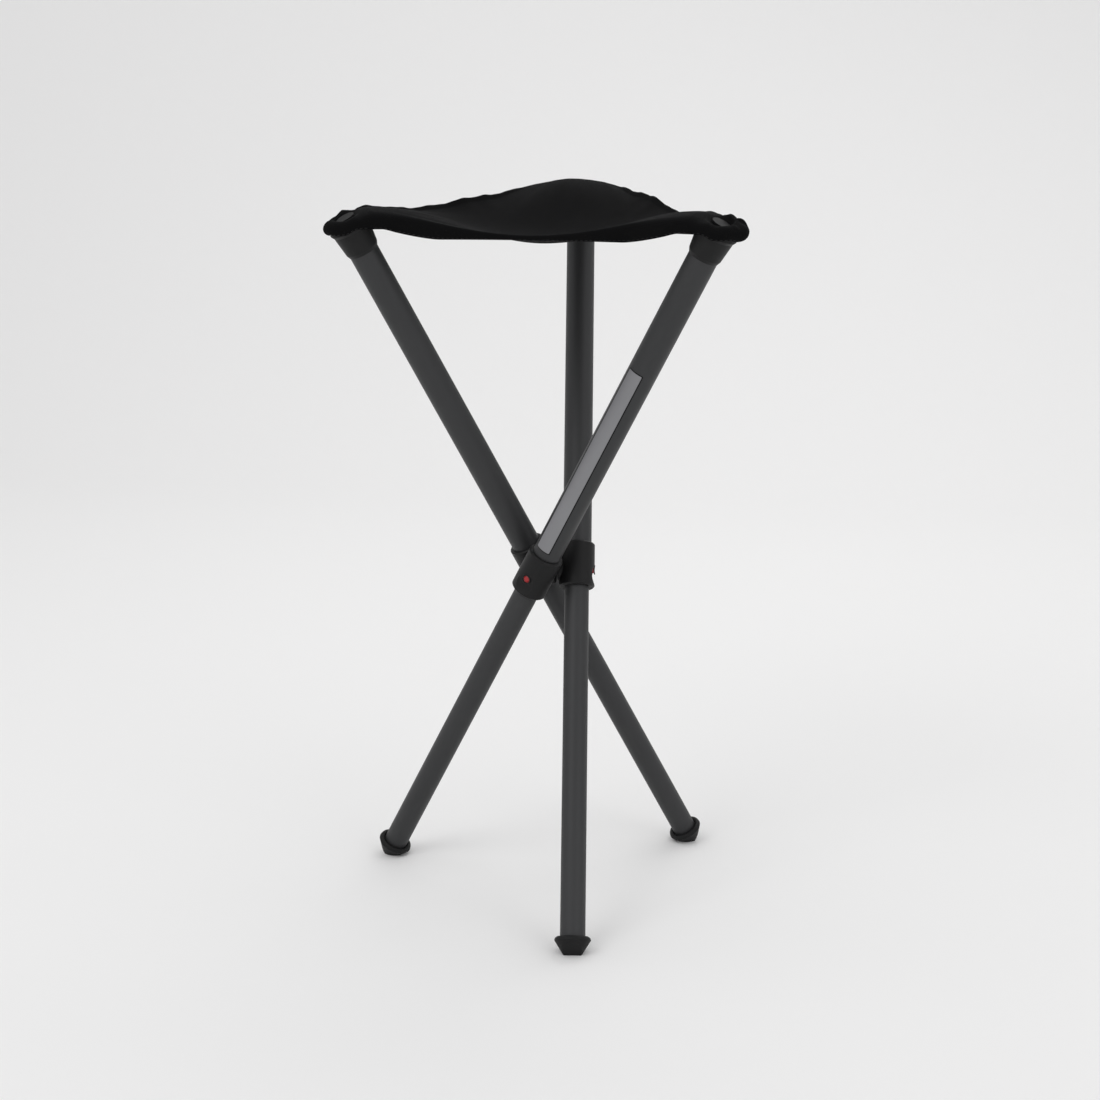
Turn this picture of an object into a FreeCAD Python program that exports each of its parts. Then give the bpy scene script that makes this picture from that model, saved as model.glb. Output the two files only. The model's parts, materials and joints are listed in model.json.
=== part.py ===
import FreeCAD, Part
import math
import os

# Collapsible telescopic stool: three telescopic legs cross at a small hub and carry a triangular cloth seat.
# All sizes are in millimetres. The origin is on the floor below the middle of the hub and +Z is up.
# Each leg is drawn along its own axis, with the hub pivot at height 0, and is then leaned and turned into place.
# In a leg's own frame +X points away from the hub and +Y is the side that faces the floor.

Vec = FreeCAD.Vector
X_AXIS = Vec(1, 0, 0)
Y_AXIS = Vec(0, 1, 0)
Z_AXIS = Vec(0, 0, 1)
ORIGIN = Vec(0, 0, 0)

# The whole stool
leg_count = 3
splay = 29.3  # degrees between a leg and the vertical
hub_height = 289.2
first_corner = -30.0  # compass angle of the first seat corner

# Clearances
running = 0.05  # radial play of a shaft or a slide
slide_play = 0.1  # radial play of the lower tube in its guide
face_gap = 0.1  # between faces that turn on each other
seat_gap = 0.3  # between cloth and what carries it
button_play = 0.15  # between the release button and the lock stud
cut_past = 1.0  # how far a cutting shape reaches past what it cuts

# Tubes
upper_outer_d = 25.0
upper_wall = 1.2
upper_top = 346.0  # where the upper tube ends, measured from the hub pivot along the leg
tube_gap = 0.65  # between the lower tube and the upper tube's bore
lower_wall = 1.4
lower_top = 53.0  # where the lower tube ends inside the upper tube when it is drawn out

# Sleeve at the hub
sleeve_wall = 3.0  # round the upper tube's socket
sleeve_top = 23.3
sleeve_bottom = -16.0
sleeve_shoulder = 6.0  # where the upper tube stands on the sleeve's inner shoulder
sleeve_edge_r = 1.2
boss_d = 20.0
boss_proud = 1.15  # how far the pivot boss stands out of the sleeve
boss_root = 1.0  # how far the boss ends short of the guide's bore
scoop_depth = 2.3  # thumb recess below the release button
scoop_length = 18.0
scoop_middle = -5.0

# Hub and its pivots
hub_flat = 6.0  # from the middle of the hub to each of its three flats
hub_tall = 23.0
hub_edge_r = 1.6
hub_corner_r = 3.0
journal_d = 9.0
washer_d = 18.0
washer_t = 0.75
pivot_head_d = 11.0
pivot_head_t = 1.9
pivot_shank_d = 5.0
pivot_end = 2.5  # the screw stops this far from the middle of the hub
pivot_slot = 1.2
bearing_length = 3.5  # how much of the sleeve's wall runs on the journal

# Release button and lock
button_d = 6.3
button_sunk = 0.15  # how far the button's crown stays below the sleeve's round outside
button_dome = 1.0
button_flange_d = 9.0
button_flange_t = 0.7
button_travel = 1.5
stud_d = 6.0
stud_flange_d = 8.4
stud_flange_t = 1.0
stud_travel = 1.5
stud_sunk = 0.05  # below the lower tube's surface
spring_strip_t = 0.6
spring_strip_w = 6.0
spring_tall = 34.0
spring_below = 5.0
spring_turn_r = 2.2

# Guides on the lower tube
stop_ring_tall = 10.0
plug_collar_tall = 8.0
plug_spigot_tall = 12.0
plug_bore_d = 8.0
guide_wall_min = 0.6

# Foot
foot_d = 30.8
foot_rise = 12.12503  # from the floor up the leg to where the foot is widest
foot_round = 3.2  # height of its rounded rim above the widest line
foot_lean = 32.6  # degrees between the foot's flank and the leg's axis
foot_crest = 2.2  # how far inside the widest line the rim's crest runs
foot_crest_w = 1.4
foot_edge = 0.5  # small bevels beside the crest
foot_heel = 37.0  # degrees between the outer flank and the foot's widest plane
foot_ridge_shift = -0.6
foot_groove = 1.6  # depth of the groove beside the tube
foot_spigot_tall = 20.0
foot_below = 20.0  # how far the foot's blank reaches below its widest line before it is cut

# Cap at a leg's top end
cap_lip_d = 25.8
cap_lower_d = 28.2
cap_skirt = 20.5  # how far the skirt reaches down from the tube's end
cap_lip_tall = 2.8
cap_upper_d = 32.4
cap_brim_d = 35.6
cap_brim_over = 2.6  # the brim's lower edge over the tube's end
cap_over = 7.2  # the cap's top over the tube's end
cap_brim_r = 4.0
cap_spigot_tall = 18.0
cap_spigot_bore_d = 14.0
cap_floor_t = 5.0

# Grey disc that holds the cloth on the cap
rivet_head_d = 15.6
rivet_head_t = 1.5
rivet_shank_d = 6.0
rivet_shank_l = 13.0

# Cloth seat
cloth_t = 2.0
hood_skirt = 1.0  # how far the pocket over a cap reaches down past the tube's end
seat_middle_drop = 23.5  # from the disc's level down to the middle of the seat
seat_corner_half = 16.5  # half the width of the cloth where it leaves a cap
ridge_run = 16.0  # how far the cloth lies flat on a cap's slope
drape_drop = 19.0  # how much the cloth falls to both sides of a corner
drape_width = 39.0
drape_reach = 85.0
blend_reach = 60.0
edge_reach = 51.0  # how far from its middle an edge is pulled taut
corner_ease = [0.05, 1.0, 0.05]  # how high the cloth arches inward of each corner
edge_middle = [96.0, 96.0, 86.5]  # from the middle of the seat to the middle of each edge
edge_lift = [25.5, 25.5, 8.5]  # how much higher than the slack form each edge is pulled
seat_grid = 14

# Webbing tab under each corner, with a cord bead sewn into its end
tab_bead_d = 4.0
tab_bead_l = 20.0
tab_bead_below = 5.0  # from the tube's end down to the bead
tab_t = 1.6
tab_hang = 1.0  # how far it hangs clear of the cloth over it, besides the gap
tab_half_w = 9.0
tab_length = 36.0
tab_bends = [0.35, 1.0]  # where the tab bends, as shares of its length

# Sizes that follow
upper_r = upper_outer_d / 2
upper_bore_r = upper_r - upper_wall
lower_r = upper_bore_r - tube_gap
lower_bore_r = lower_r - lower_wall
sleeve_r = upper_r + sleeve_wall
button_top = sleeve_r - button_sunk
guide_bore_r = lower_r + slide_play
guide_r = upper_bore_r - running
boss_face = sleeve_r + boss_proud
hub_to_face = hub_flat + washer_t + face_gap
leg_offset = hub_to_face + boss_face  # from the middle of the hub to a leg's axis
washer_face = hub_flat + washer_t
journal_r = journal_d / 2
journal_end = hub_to_face + bearing_length + face_gap
counterbore_at = leg_offset - hub_to_face - bearing_length
foot_r = foot_d / 2
floor_along = -hub_height / math.cos(math.radians(splay))
foot_widest = floor_along + foot_rise
foot_seat = foot_widest
slope = math.tan(math.radians(splay))
cap_lower = upper_top - cap_skirt
cap_brim = upper_top + cap_brim_over
cap_top = upper_top + cap_over
hood_lower = upper_top - hood_skirt
tab_bead_at = upper_top - tab_bead_below
disc_level = cap_top + seat_gap + cloth_t
hood_r = cap_brim_d / 2 + seat_gap + cloth_t
hood_edge_r = cap_brim_r + seat_gap + cloth_t


def corner_angle(leg):
    """Compass angle of the seat corner that a leg carries, in degrees."""
    return first_corner + leg * 360.0 / leg_count


def leg_angle(leg):
    """Compass angle of a leg's pivot journal, in degrees."""
    lean_out = disc_level * math.sin(math.radians(splay))
    return corner_angle(leg) - math.degrees(math.atan2(lean_out, leg_offset))


def corner_radius():
    """Distance in plan from the middle of the stool to the middle of a leg's top."""
    return math.hypot(leg_offset, disc_level * math.sin(math.radians(splay)))


def corner_height():
    """Height of the cloth's top face over the middle of a cap."""
    return hub_height + disc_level * math.cos(math.radians(splay))


def in_leg(shape, leg):
    """Leans a shape drawn in the leg's own frame and sets it beside the hub."""
    placed = shape.copy()
    placed.rotate(ORIGIN, X_AXIS, -splay)
    placed.translate(Vec(leg_offset, 0, hub_height))
    placed.rotate(ORIGIN, Z_AXIS, leg_angle(leg))
    return placed


def at_hub(shape, leg):
    """Sets a shape drawn around the hub's middle, along +X, on one of its three sides."""
    placed = shape.copy()
    placed.translate(Vec(0, 0, hub_height))
    placed.rotate(ORIGIN, Z_AXIS, leg_angle(leg))
    return placed


def cylinder(radius, low, high, axis=Z_AXIS):
    """A round bar along an axis through the origin, from low to high."""
    return Part.makeCylinder(radius, high - low, axis * low, axis)


def ring(outer, inner, low, high, axis=Z_AXIS):
    """A round tube along an axis through the origin."""
    longer = 1.0
    return cylinder(outer, low, high, axis).cut(cylinder(inner, low - longer, high + longer, axis))


def revolved(points):
    """A closed outline of (radius, height) points turned about Z."""
    outline = [Vec(radius, 0, height) for radius, height in points]
    return Part.Face(Part.makePolygon(outline + outline[:1])).revolve(ORIGIN, Z_AXIS, 360)


def soft_corner(centre, radius, start, end, facets=2):
    """Points round a corner of an outline, from one compass angle to another, as a fine bevel."""
    points = []
    for i in range(facets + 1):
        turn = math.radians(start + (end - start) * i / facets)
        points.append((centre[0] + radius * math.cos(turn), centre[1] + radius * math.sin(turn)))
    return points


def export(shape, name):
    """Writes one sub-part, refined and checked, to its STEP file."""
    if not shape.isValid():
        raise ValueError(name + " is not a valid solid")
    shape.exportStep("parts/" + name + ".step")


def make_hub():
    """Three-sided hub core with a turned journal on each side for a sleeve to swivel on."""
    flat_half = hub_flat * math.tan(math.radians(180.0 / leg_count))
    corners = []
    for side in range(leg_count):
        turn = math.radians(leg_angle(side) + 180.0 / leg_count)
        reach = math.hypot(hub_flat, flat_half)
        corners.append(Vec(reach * math.cos(turn), reach * math.sin(turn), hub_height - hub_tall / 2))
    core = Part.Face(Part.makePolygon(corners + corners[:1])).extrude(Z_AXIS * hub_tall)
    upright = [e for e in core.Edges if abs(e.tangentAt(e.FirstParameter).z) > 0.99]
    core = core.makeFillet(hub_corner_r, upright)
    rims = [e for e in core.Edges if abs(e.tangentAt(e.FirstParameter).z) < 0.01]
    core = core.makeChamfer(hub_edge_r, rims)
    for side in range(leg_count):
        journal = cylinder(journal_r, 0, journal_end, X_AXIS)
        core = core.fuse(at_hub(journal, side))
    for side in range(leg_count):
        hole = cylinder(pivot_shank_d / 2 + running, pivot_end - face_gap, journal_end + cut_past, X_AXIS)
        core = core.cut(at_hub(hole, side))
    return core.removeSplitter()


def make_pivot_screw():
    """Flat-headed screw that keeps a sleeve on its journal, drawn along +X from the hub's middle."""
    head_end = journal_end + pivot_head_t
    head = cylinder(pivot_head_d / 2, journal_end, head_end, X_AXIS)
    shank = cylinder(pivot_shank_d / 2, pivot_end, journal_end, X_AXIS)
    slot = Part.makeBox(pivot_head_t, pivot_head_d, pivot_slot)
    slot.translate(Vec(head_end - pivot_head_t / 2, -pivot_head_d / 2, -pivot_slot / 2))
    return head.fuse(shank).cut(slot).removeSplitter()


def make_pivot_washer():
    """Thin washer between a hub flat and the sleeve's boss."""
    return ring(washer_d / 2, journal_r + running, hub_flat, washer_face, X_AXIS)


def make_sleeve():
    """Moulded sleeve: socket for the upper tube, guide for the lower tube, pivot boss and thumb recess."""
    r, e = sleeve_r, sleeve_edge_r
    socket_r = upper_r + running
    body = revolved(
        [
            (guide_bore_r, sleeve_bottom),
            *soft_corner((r - e, sleeve_bottom + e), e, -90, 0, 1),
            *soft_corner((r - e, sleeve_top - e), e, 0, 90, 1),
            (socket_r, sleeve_top),
            (socket_r, sleeve_shoulder),
            (guide_bore_r, sleeve_shoulder),
        ]
    )
    boss = cylinder(boss_d / 2, -boss_face, -guide_bore_r - boss_root, X_AXIS)
    boss = boss.makeChamfer(boss_proud / 2, [x for x in boss.Edges if x.CenterOfMass.x < -boss_face + 0.01])
    bore = cylinder(guide_bore_r, sleeve_bottom - cut_past, sleeve_shoulder, Z_AXIS)
    socket = cylinder(socket_r, sleeve_shoulder, sleeve_top + cut_past, Z_AXIS)
    body = body.fuse(boss).cut(bore.fuse(socket))
    scoop_r = ((scoop_length / 2) ** 2 + scoop_depth**2) / (2 * scoop_depth)
    scoop = cylinder(scoop_r, -r - cut_past, r + cut_past, Y_AXIS)
    scoop.translate(Vec(r - scoop_depth + scoop_r, 0, scoop_middle))
    body = body.cut(scoop)
    body = body.cut(cylinder(journal_r + running, -boss_face - cut_past, 0, X_AXIS))
    body = body.cut(cylinder(pivot_head_d / 2 + slide_play, -counterbore_at, 0, X_AXIS))
    body = body.cut(cylinder(button_d / 2 + slide_play, 0, r + cut_past, X_AXIS))
    pocket_roof = button_flange_base() + button_flange_t + running
    body = body.cut(cylinder(button_flange_d / 2 + slide_play, 0, pocket_roof, X_AXIS))
    return body.removeSplitter()


def button_flange_base():
    """Height of the underside of the button's flange above the leg's axis."""
    return lower_r - stud_sunk + stud_travel + button_play


def make_release_button():
    """Domed push button with the flange that keeps it in the sleeve, drawn along +X."""
    low = button_flange_base()
    r, top = button_d / 2, button_top
    button = revolved(
        [
            (0, low),
            (button_flange_d / 2, low),
            (button_flange_d / 2, low + button_flange_t),
            (r, low + button_flange_t),
            (r, top - button_dome),
            (r * 0.62, top - button_dome * 0.25),
            (0, top),
        ]
    )
    button.rotate(ORIGIN, Y_AXIS, 90)
    return button


def make_upper_tube():
    """Upper leg tube from the sleeve's shoulder to the cap."""
    return ring(upper_r, upper_bore_r, sleeve_shoulder + face_gap, upper_top)


def make_lower_tube():
    """Lower leg tube with the hole that the lock stud comes out of."""
    tube = ring(lower_r, lower_bore_r, foot_seat, lower_top)
    return tube.cut(cylinder(stud_d / 2 + slide_play, 0, lower_r + cut_past, X_AXIS))


def make_stop_ring():
    """Ring on the lower tube that stands on the sleeve's shoulder when the leg is drawn out."""
    low = sleeve_shoulder + face_gap
    body = ring(guide_r, lower_r, low, low + stop_ring_tall)
    split = Part.makeBox(upper_outer_d, guide_wall_min * 2, stop_ring_tall + 2 * cut_past)
    split.translate(Vec(0, -guide_wall_min, low - cut_past))
    return body.cut(split)


def make_slide_plug():
    """Guide plug in the lower tube's top end, with a collar that slides in the upper tube."""
    low = lower_top - plug_spigot_tall
    high = lower_top + plug_collar_tall
    return revolved(
        [
            (plug_bore_d / 2, low),
            (lower_bore_r - running, low),
            (lower_bore_r - running, lower_top),
            (guide_r, lower_top),
            (guide_r, high),
            (plug_bore_d / 2, high),
        ]
    )


def stud_base():
    """Height of the underside of the stud's flange above the leg's axis."""
    wall_at_flange = math.sqrt(lower_bore_r**2 - (stud_flange_d / 2) ** 2)
    return wall_at_flange - stud_travel - running - stud_flange_t


def make_lock_stud():
    """Flanged stud in the lower tube that locks the leg, drawn along +X in its pushed-in place."""
    low, top = stud_base(), lower_r - stud_sunk
    r = stud_d / 2
    stud = revolved(
        [
            (0, low),
            (stud_flange_d / 2, low),
            (stud_flange_d / 2, low + stud_flange_t),
            (r, low + stud_flange_t),
            (r, top),
            (0, top),
        ]
    )
    stud.rotate(ORIGIN, Y_AXIS, 90)
    return stud


def make_lock_spring():
    """Bent strip spring: one leaf under the stud, the other on the far wall of the lower tube."""
    half_w = spring_strip_w / 2
    near = stud_base() - running
    far = -math.sqrt(lower_bore_r**2 - half_w**2) + running
    t = spring_strip_t
    low, high = -spring_below, spring_tall - spring_below
    turn_r = spring_turn_r
    outline = [
        Vec(near, -half_w, low),
        Vec(near, -half_w, spring_below),
        Vec(turn_r, -half_w, high - turn_r),
        Vec(-turn_r, -half_w, high - turn_r),
        Vec(far, -half_w, low),
        Vec(far + t, -half_w, low),
        Vec(-turn_r + t, -half_w, high - turn_r),
        Vec(turn_r - t, -half_w, high - turn_r),
        Vec(near - t, -half_w, spring_below),
        Vec(near - t, -half_w, low),
    ]
    middle_out = Vec(0, -half_w, high)
    middle_in = Vec(0, -half_w, high - t)
    edges = []
    for i, start in enumerate(outline):
        end = outline[(i + 1) % len(outline)]
        if i == 2:
            edges.append(Part.Arc(start, middle_out, end).toShape())
        elif i == 6:
            edges.append(Part.Arc(start, middle_in, end).toShape())
        else:
            edges.append(Part.LineSegment(start, end).toShape())
    return Part.Face(Part.Wire(edges)).extrude(Y_AXIS * spring_strip_w)


def make_foot():
    """Tapered foot with a rounded rim, cut to lie flat on the floor, and a spigot in the tube."""
    top = foot_widest + foot_round
    rim_in = lower_r + slide_play
    low = foot_widest - foot_below
    low_r = foot_r - foot_below * math.tan(math.radians(foot_lean))
    crest_r = foot_r - foot_crest
    spigot_r = lower_bore_r - running
    spigot_top = foot_seat + foot_spigot_tall
    return revolved(
        [
            (0, low),
            (low_r, low),
            (foot_r, foot_widest),
            (foot_r - foot_edge, foot_widest + foot_round * 0.6),
            (crest_r, top),
            (crest_r - foot_crest_w, top - foot_edge),
            (rim_in, top - foot_groove),
            (rim_in, foot_seat),
            (spigot_r, foot_seat),
            (spigot_r, spigot_top),
            (0, spigot_top),
        ]
    )


def cut_foot(placed, leg):
    """Cuts a foot in its place on the floor, and bevels its outer flank."""
    size = 8 * foot_d
    ground = Part.makeBox(size, size, size)
    ground.translate(Vec(-size / 2, -size / 2, -size))
    foot_middle = in_leg(Part.Vertex(0, 0, floor_along), leg).Point
    ground.translate(Vec(foot_middle.x, foot_middle.y, 0))
    heel = Part.makeBox(size, size, size)
    heel.translate(Vec(-size / 2, -size, -size))
    heel.rotate(ORIGIN, X_AXIS, -foot_heel)
    heel.translate(Vec(0, foot_ridge_shift, floor_along + foot_ridge_shift * slope))
    return placed.cut(ground).cut(in_leg(heel, leg)).removeSplitter()


def make_leg_cap():
    """Flared cap on the upper tube's end: skirt outside the tube, spigot inside it, brim for the cloth."""
    socket_r = upper_r + running
    spigot_r = upper_bore_r - running
    spigot_low = upper_top - cap_spigot_tall
    slot_top = upper_top + face_gap
    brim_r, b = cap_brim_d / 2, cap_brim_r
    cap = revolved(
        [
            (socket_r, cap_lower),
            (cap_lip_d / 2, cap_lower),
            (cap_lower_d / 2, cap_lower + cap_lip_tall),
            (cap_upper_d / 2, upper_top),
            (brim_r, cap_brim),
            *soft_corner((brim_r - b, cap_top - b), b, 0, 90),
            (0, cap_top),
            (0, cap_top - rivet_shank_l),
            (cap_spigot_bore_d / 2, cap_top - rivet_shank_l),
            (cap_spigot_bore_d / 2, spigot_low),
            (spigot_r, spigot_low),
            (spigot_r, slot_top),
            (socket_r, slot_top),
        ]
    )
    hole = cylinder(rivet_shank_d / 2 + running, cap_top - rivet_shank_l + cap_floor_t / 2, cap_top + cut_past)
    return cap.cut(hole).removeSplitter()


def make_corner_rivet():
    """Grey disc on the cloth with the shank that holds it in the cap."""
    low = disc_level + seat_gap
    r = rivet_head_d / 2
    high = low + rivet_head_t
    shank_end = cap_top - rivet_shank_l + cap_floor_t / 2 + face_gap
    return revolved(
        [
            (0, shank_end),
            (rivet_shank_d / 2, shank_end),
            (rivet_shank_d / 2, low),
            (r, low),
            (r, high),
            (0, high),
        ]
    )


def ridge(inward, ease):
    """Height of the cloth along the line from a corner to the middle, over the level of its disc."""
    if inward < ridge_run:
        return slope * inward
    span = corner_radius() - ridge_run
    t = (inward - ridge_run) / span
    start, pull = slope * ridge_run, slope * span * ease
    rise = start * (2 * t**3 - 3 * t**2 + 1) + pull * (t**3 - 2 * t**2 + t)
    return rise - seat_middle_drop * (3 * t**2 - 2 * t**3)


def drape(inward, aside):
    """How far the cloth falls beside that line."""
    depth = drape_drop / (1 + (max(inward, 0) / drape_reach) ** 2)
    return depth * (math.sqrt(1 + (aside / drape_width) ** 2) - 1)


def along_and_aside(x, y, degrees):
    """A plan point's distances along and beside a direction from the stool's middle."""
    turn = math.radians(degrees)
    along = x * math.cos(turn) + y * math.sin(turn)
    return along, y * math.cos(turn) - x * math.sin(turn)


def cloth_height(x, y):
    """Height of the cloth's top face: the corners' own forms blended, and each edge pulled up."""
    total = weights = lift = 0.0
    for leg in range(leg_count):
        along, aside = along_and_aside(x, y, corner_angle(leg))
        inward = corner_radius() - along
        weight = (math.hypot(inward, aside) / blend_reach + 0.15) ** -4
        total += weight * (ridge(inward, corner_ease[leg]) - drape(inward, aside))
        weights += weight
        along, aside = along_and_aside(x, y, corner_angle(leg + 0.5))
        share = max(along / edge_middle[leg], 0)
        bounded = share**3 * 13 / (12 + share**6)
        lift += edge_lift[leg] * bounded * math.exp(-((aside / edge_reach) ** 2))
    return corner_height() + total / weights + lift


def plan_point(radius, degrees):
    """A point on a circle round the stool's upright axis."""
    turn = math.radians(degrees)
    return Vec(radius * math.cos(turn), radius * math.sin(turn), 0)


def seat_outline():
    """Plan of the cloth between the caps: three hollow edges joined by short corner runs."""
    edges = []
    reach, half = corner_radius(), seat_corner_half
    for leg in range(leg_count):
        here, there = corner_angle(leg), corner_angle(leg + 1)
        start = plan_point(reach, here) + plan_point(half, here + 90)
        end = plan_point(reach, there) + plan_point(half, there - 90)
        middle = plan_point(edge_middle[leg], (here + there) / 2)
        edges.append(Part.Arc(start, middle, end).toShape())
        after = plan_point(reach, there) + plan_point(half, there + 90)
        edges.append(Part.LineSegment(end, after).toShape())
    return Part.Wire(edges)


def make_cloth_sheet():
    """The sagging sheet between the three caps, in two halves that meet along its lowest and highest line."""
    reach = corner_radius() + cloth_t
    columns = []
    for i in range(seat_grid):
        x = -reach + 2 * reach * i / (seat_grid - 1)
        rows = []
        for j in range(seat_grid):
            y = -reach + 2 * reach * j / (seat_grid - 1)
            rows.append(Vec(x, y, cloth_height(x, y)))
        columns.append(rows)
    surface = Part.BSplineSurface()
    surface.interpolate(columns)
    slab = surface.toShape().extrude(Vec(0, 0, -cloth_t))
    blank = Part.Face(seat_outline())
    blank.translate(Vec(0, 0, hub_height))
    sheet = slab.common(blank.extrude(Z_AXIS * 2 * hub_height))
    right = Part.makeBox(2 * reach, 4 * reach, 2 * hub_height, Vec(0, -2 * reach, hub_height))
    return sheet.common(right).fuse(sheet.cut(right))


def make_hood():
    """The pocket that the cloth makes over one cap, in the leg's frame."""
    top, r, e = disc_level, hood_r, hood_edge_r
    t = cloth_t
    low_r = r - t
    return revolved(
        [
            (rivet_shank_d / 2 + seat_gap, top),
            (rivet_shank_d / 2 + seat_gap, top - t),
            *soft_corner((r - e, top - e), e - t, 90, 0),
            (low_r, hood_lower),
            (r, hood_lower),
            *soft_corner((r - e, top - e), e, 0, 90, 3),
        ]
    )


def make_hood_room():
    """The room for the cap under the pocket, with the pocket's own top left open."""
    top, r, e = disc_level, hood_r, hood_edge_r
    under = revolved(
        [
            (0, cap_lower),
            (r - cloth_t, cap_lower),
            *soft_corner((r - e, top - e), e - cloth_t, 0, 90),
            (0, top - cloth_t),
        ]
    )
    return under.fuse(cylinder(r - e / 2, top - r, top + r))


def make_seat_cloth():
    """The whole cloth: the sheet, joined to a pocket over each cap."""
    cloth = make_cloth_sheet()
    for leg in range(leg_count):
        cloth = cloth.cut(in_leg(make_hood_room(), leg))
    for leg in range(leg_count):
        cloth = cloth.fuse(in_leg(make_hood(), leg))
    return cloth


def cap_radius_at(along):
    """Outer radius of the cap's flared skirt at a place along the leg."""
    share = (along - cap_lower - cap_lip_tall) / (upper_top - cap_lower - cap_lip_tall)
    return (cap_lower_d + share * (cap_upper_d - cap_lower_d)) / 2


def tab_pivot(leg):
    """The middle of the tab's bead, in the stool's frame."""
    bead_y = -(cap_radius_at(tab_bead_at) + tab_bead_d / 2 + seat_gap)
    return in_leg(Part.Vertex(0, bead_y, tab_bead_at), leg).Point


def make_corner_tab(leg):
    """Webbing tab below the cloth, with its bead against the cap, drawn in the stool's frame."""
    pivot = tab_pivot(leg)
    turn = math.radians(leg_angle(leg))
    aside = Vec(math.cos(turn), math.sin(turn), 0)
    inward = Vec(math.sin(turn), -math.cos(turn), 0)
    bead = Part.makeCylinder(tab_bead_d / 2, tab_bead_l, pivot - aside * (tab_bead_l / 2), aside)
    down = Vec(0, 0, -tab_t)
    points = [pivot + inward * (tab_bead_d / 4) - down / 2]
    for share in tab_bends:
        place = pivot + inward * (tab_length * share)
        sides = [place - aside * tab_half_w, place, place + aside * tab_half_w]
        under = min(cloth_height(side.x, side.y) for side in sides)
        points.append(Vec(place.x, place.y, under - cloth_t - tab_hang - seat_gap))
    outline = points + [point + down for point in reversed(points)]
    strip = Part.Face(Part.makePolygon(outline + outline[:1])).extrude(aside * 2 * tab_half_w)
    strip.translate(-aside * tab_half_w)
    return strip.fuse(bead).removeSplitter()


def retract_travel():
    """How far a lower tube slides up before its plug reaches the cap's spigot."""
    bump = 1.0
    return upper_top - cap_spigot_tall - lower_top - plug_collar_tall - bump


def main():
    os.makedirs("parts", exist_ok=True)
    export(make_hub(), "hub")
    export(make_seat_cloth(), "seat_cloth")
    hub_side = {"pivot_screw": make_pivot_screw(), "pivot_washer": make_pivot_washer()}
    leg_pieces = {
        "sleeve": make_sleeve(),
        "upper_tube": make_upper_tube(),
        "leg_cap": make_leg_cap(),
        "corner_rivet": make_corner_rivet(),
        "release_button": make_release_button(),
        "lower_tube": make_lower_tube(),
        "stop_ring": make_stop_ring(),
        "slide_plug": make_slide_plug(),
        "lock_stud": make_lock_stud(),
        "lock_spring": make_lock_spring(),
    }
    foot = make_foot()
    for leg in range(leg_count):
        number = "_" + str(leg + 1)
        for name, shape in hub_side.items():
            export(at_hub(shape, leg), name + number)
        for name, shape in leg_pieces.items():
            export(in_leg(shape, leg), name + number)
        export(cut_foot(in_leg(foot, leg), leg), "foot" + number)
        export(make_corner_tab(leg), "corner_tab" + number)
        rest = in_leg(Part.Vertex(0, 6.0, floor_along), leg).Point
        print("leg", leg + 1, "angle", leg_angle(leg), "tab pivot", tab_pivot(leg), "foot near", rest)
    print("corner radius", corner_radius(), "height", corner_height(), "travel", retract_travel())


main()
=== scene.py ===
import json
import math

import bpy
import bmesh
import numpy as np
from mathutils import Matrix, Vector


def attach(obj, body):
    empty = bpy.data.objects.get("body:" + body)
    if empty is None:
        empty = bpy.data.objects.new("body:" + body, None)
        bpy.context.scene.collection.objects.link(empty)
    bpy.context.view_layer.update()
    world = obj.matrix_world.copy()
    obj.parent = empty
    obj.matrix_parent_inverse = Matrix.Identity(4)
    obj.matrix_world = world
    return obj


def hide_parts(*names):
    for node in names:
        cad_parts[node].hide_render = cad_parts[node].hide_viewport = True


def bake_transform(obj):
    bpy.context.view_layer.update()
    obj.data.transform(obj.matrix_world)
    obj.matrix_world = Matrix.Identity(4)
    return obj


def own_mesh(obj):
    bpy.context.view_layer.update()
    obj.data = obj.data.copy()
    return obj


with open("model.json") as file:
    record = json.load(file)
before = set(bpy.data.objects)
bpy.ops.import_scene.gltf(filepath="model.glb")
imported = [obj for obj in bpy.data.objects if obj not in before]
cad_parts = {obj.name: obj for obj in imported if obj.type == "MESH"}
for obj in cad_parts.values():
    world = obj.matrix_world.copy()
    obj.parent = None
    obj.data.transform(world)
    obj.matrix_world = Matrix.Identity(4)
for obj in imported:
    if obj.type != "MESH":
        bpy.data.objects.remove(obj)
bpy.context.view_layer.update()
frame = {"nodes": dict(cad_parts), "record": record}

record = frame["record"]
nodes = frame["nodes"]
scene = bpy.context.scene

# Sizes of the stool in metres, as in the construction
SPLAY = math.radians(29.3)
OFFSET = 0.0235  # from the hub's axis to each leg's axis
HUB = 0.2892  # height of the hub's pivots
DISC = 0.3555  # from a pivot to the disc, along the leg
SLOPE = math.tan(SPLAY)
CORNER = math.hypot(OFFSET, DISC * math.sin(SPLAY))
LEVEL = HUB + DISC * math.cos(SPLAY)
CORNERS = [math.radians(-30 + 120 * k) for k in range(3)]


def leg_axes(k):
    """Origin and axes of a leg: outward, under side, and up along the leg."""
    turn = CORNERS[k] - math.atan2(DISC * math.sin(SPLAY), OFFSET)
    r = np.array([math.cos(turn), math.sin(turn), 0.0])
    t = np.array([-math.sin(turn), math.cos(turn), 0.0])
    z = np.array([0.0, 0.0, 1.0])
    up = math.cos(SPLAY) * z + math.sin(SPLAY) * t
    under = math.cos(SPLAY) * t - math.sin(SPLAY) * z
    return OFFSET * r + HUB * z, r, under, up


def leg_point(k, x, y, s):
    o, r, under, up = leg_axes(k)
    return o + x * r + y * under + s * up


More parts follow.
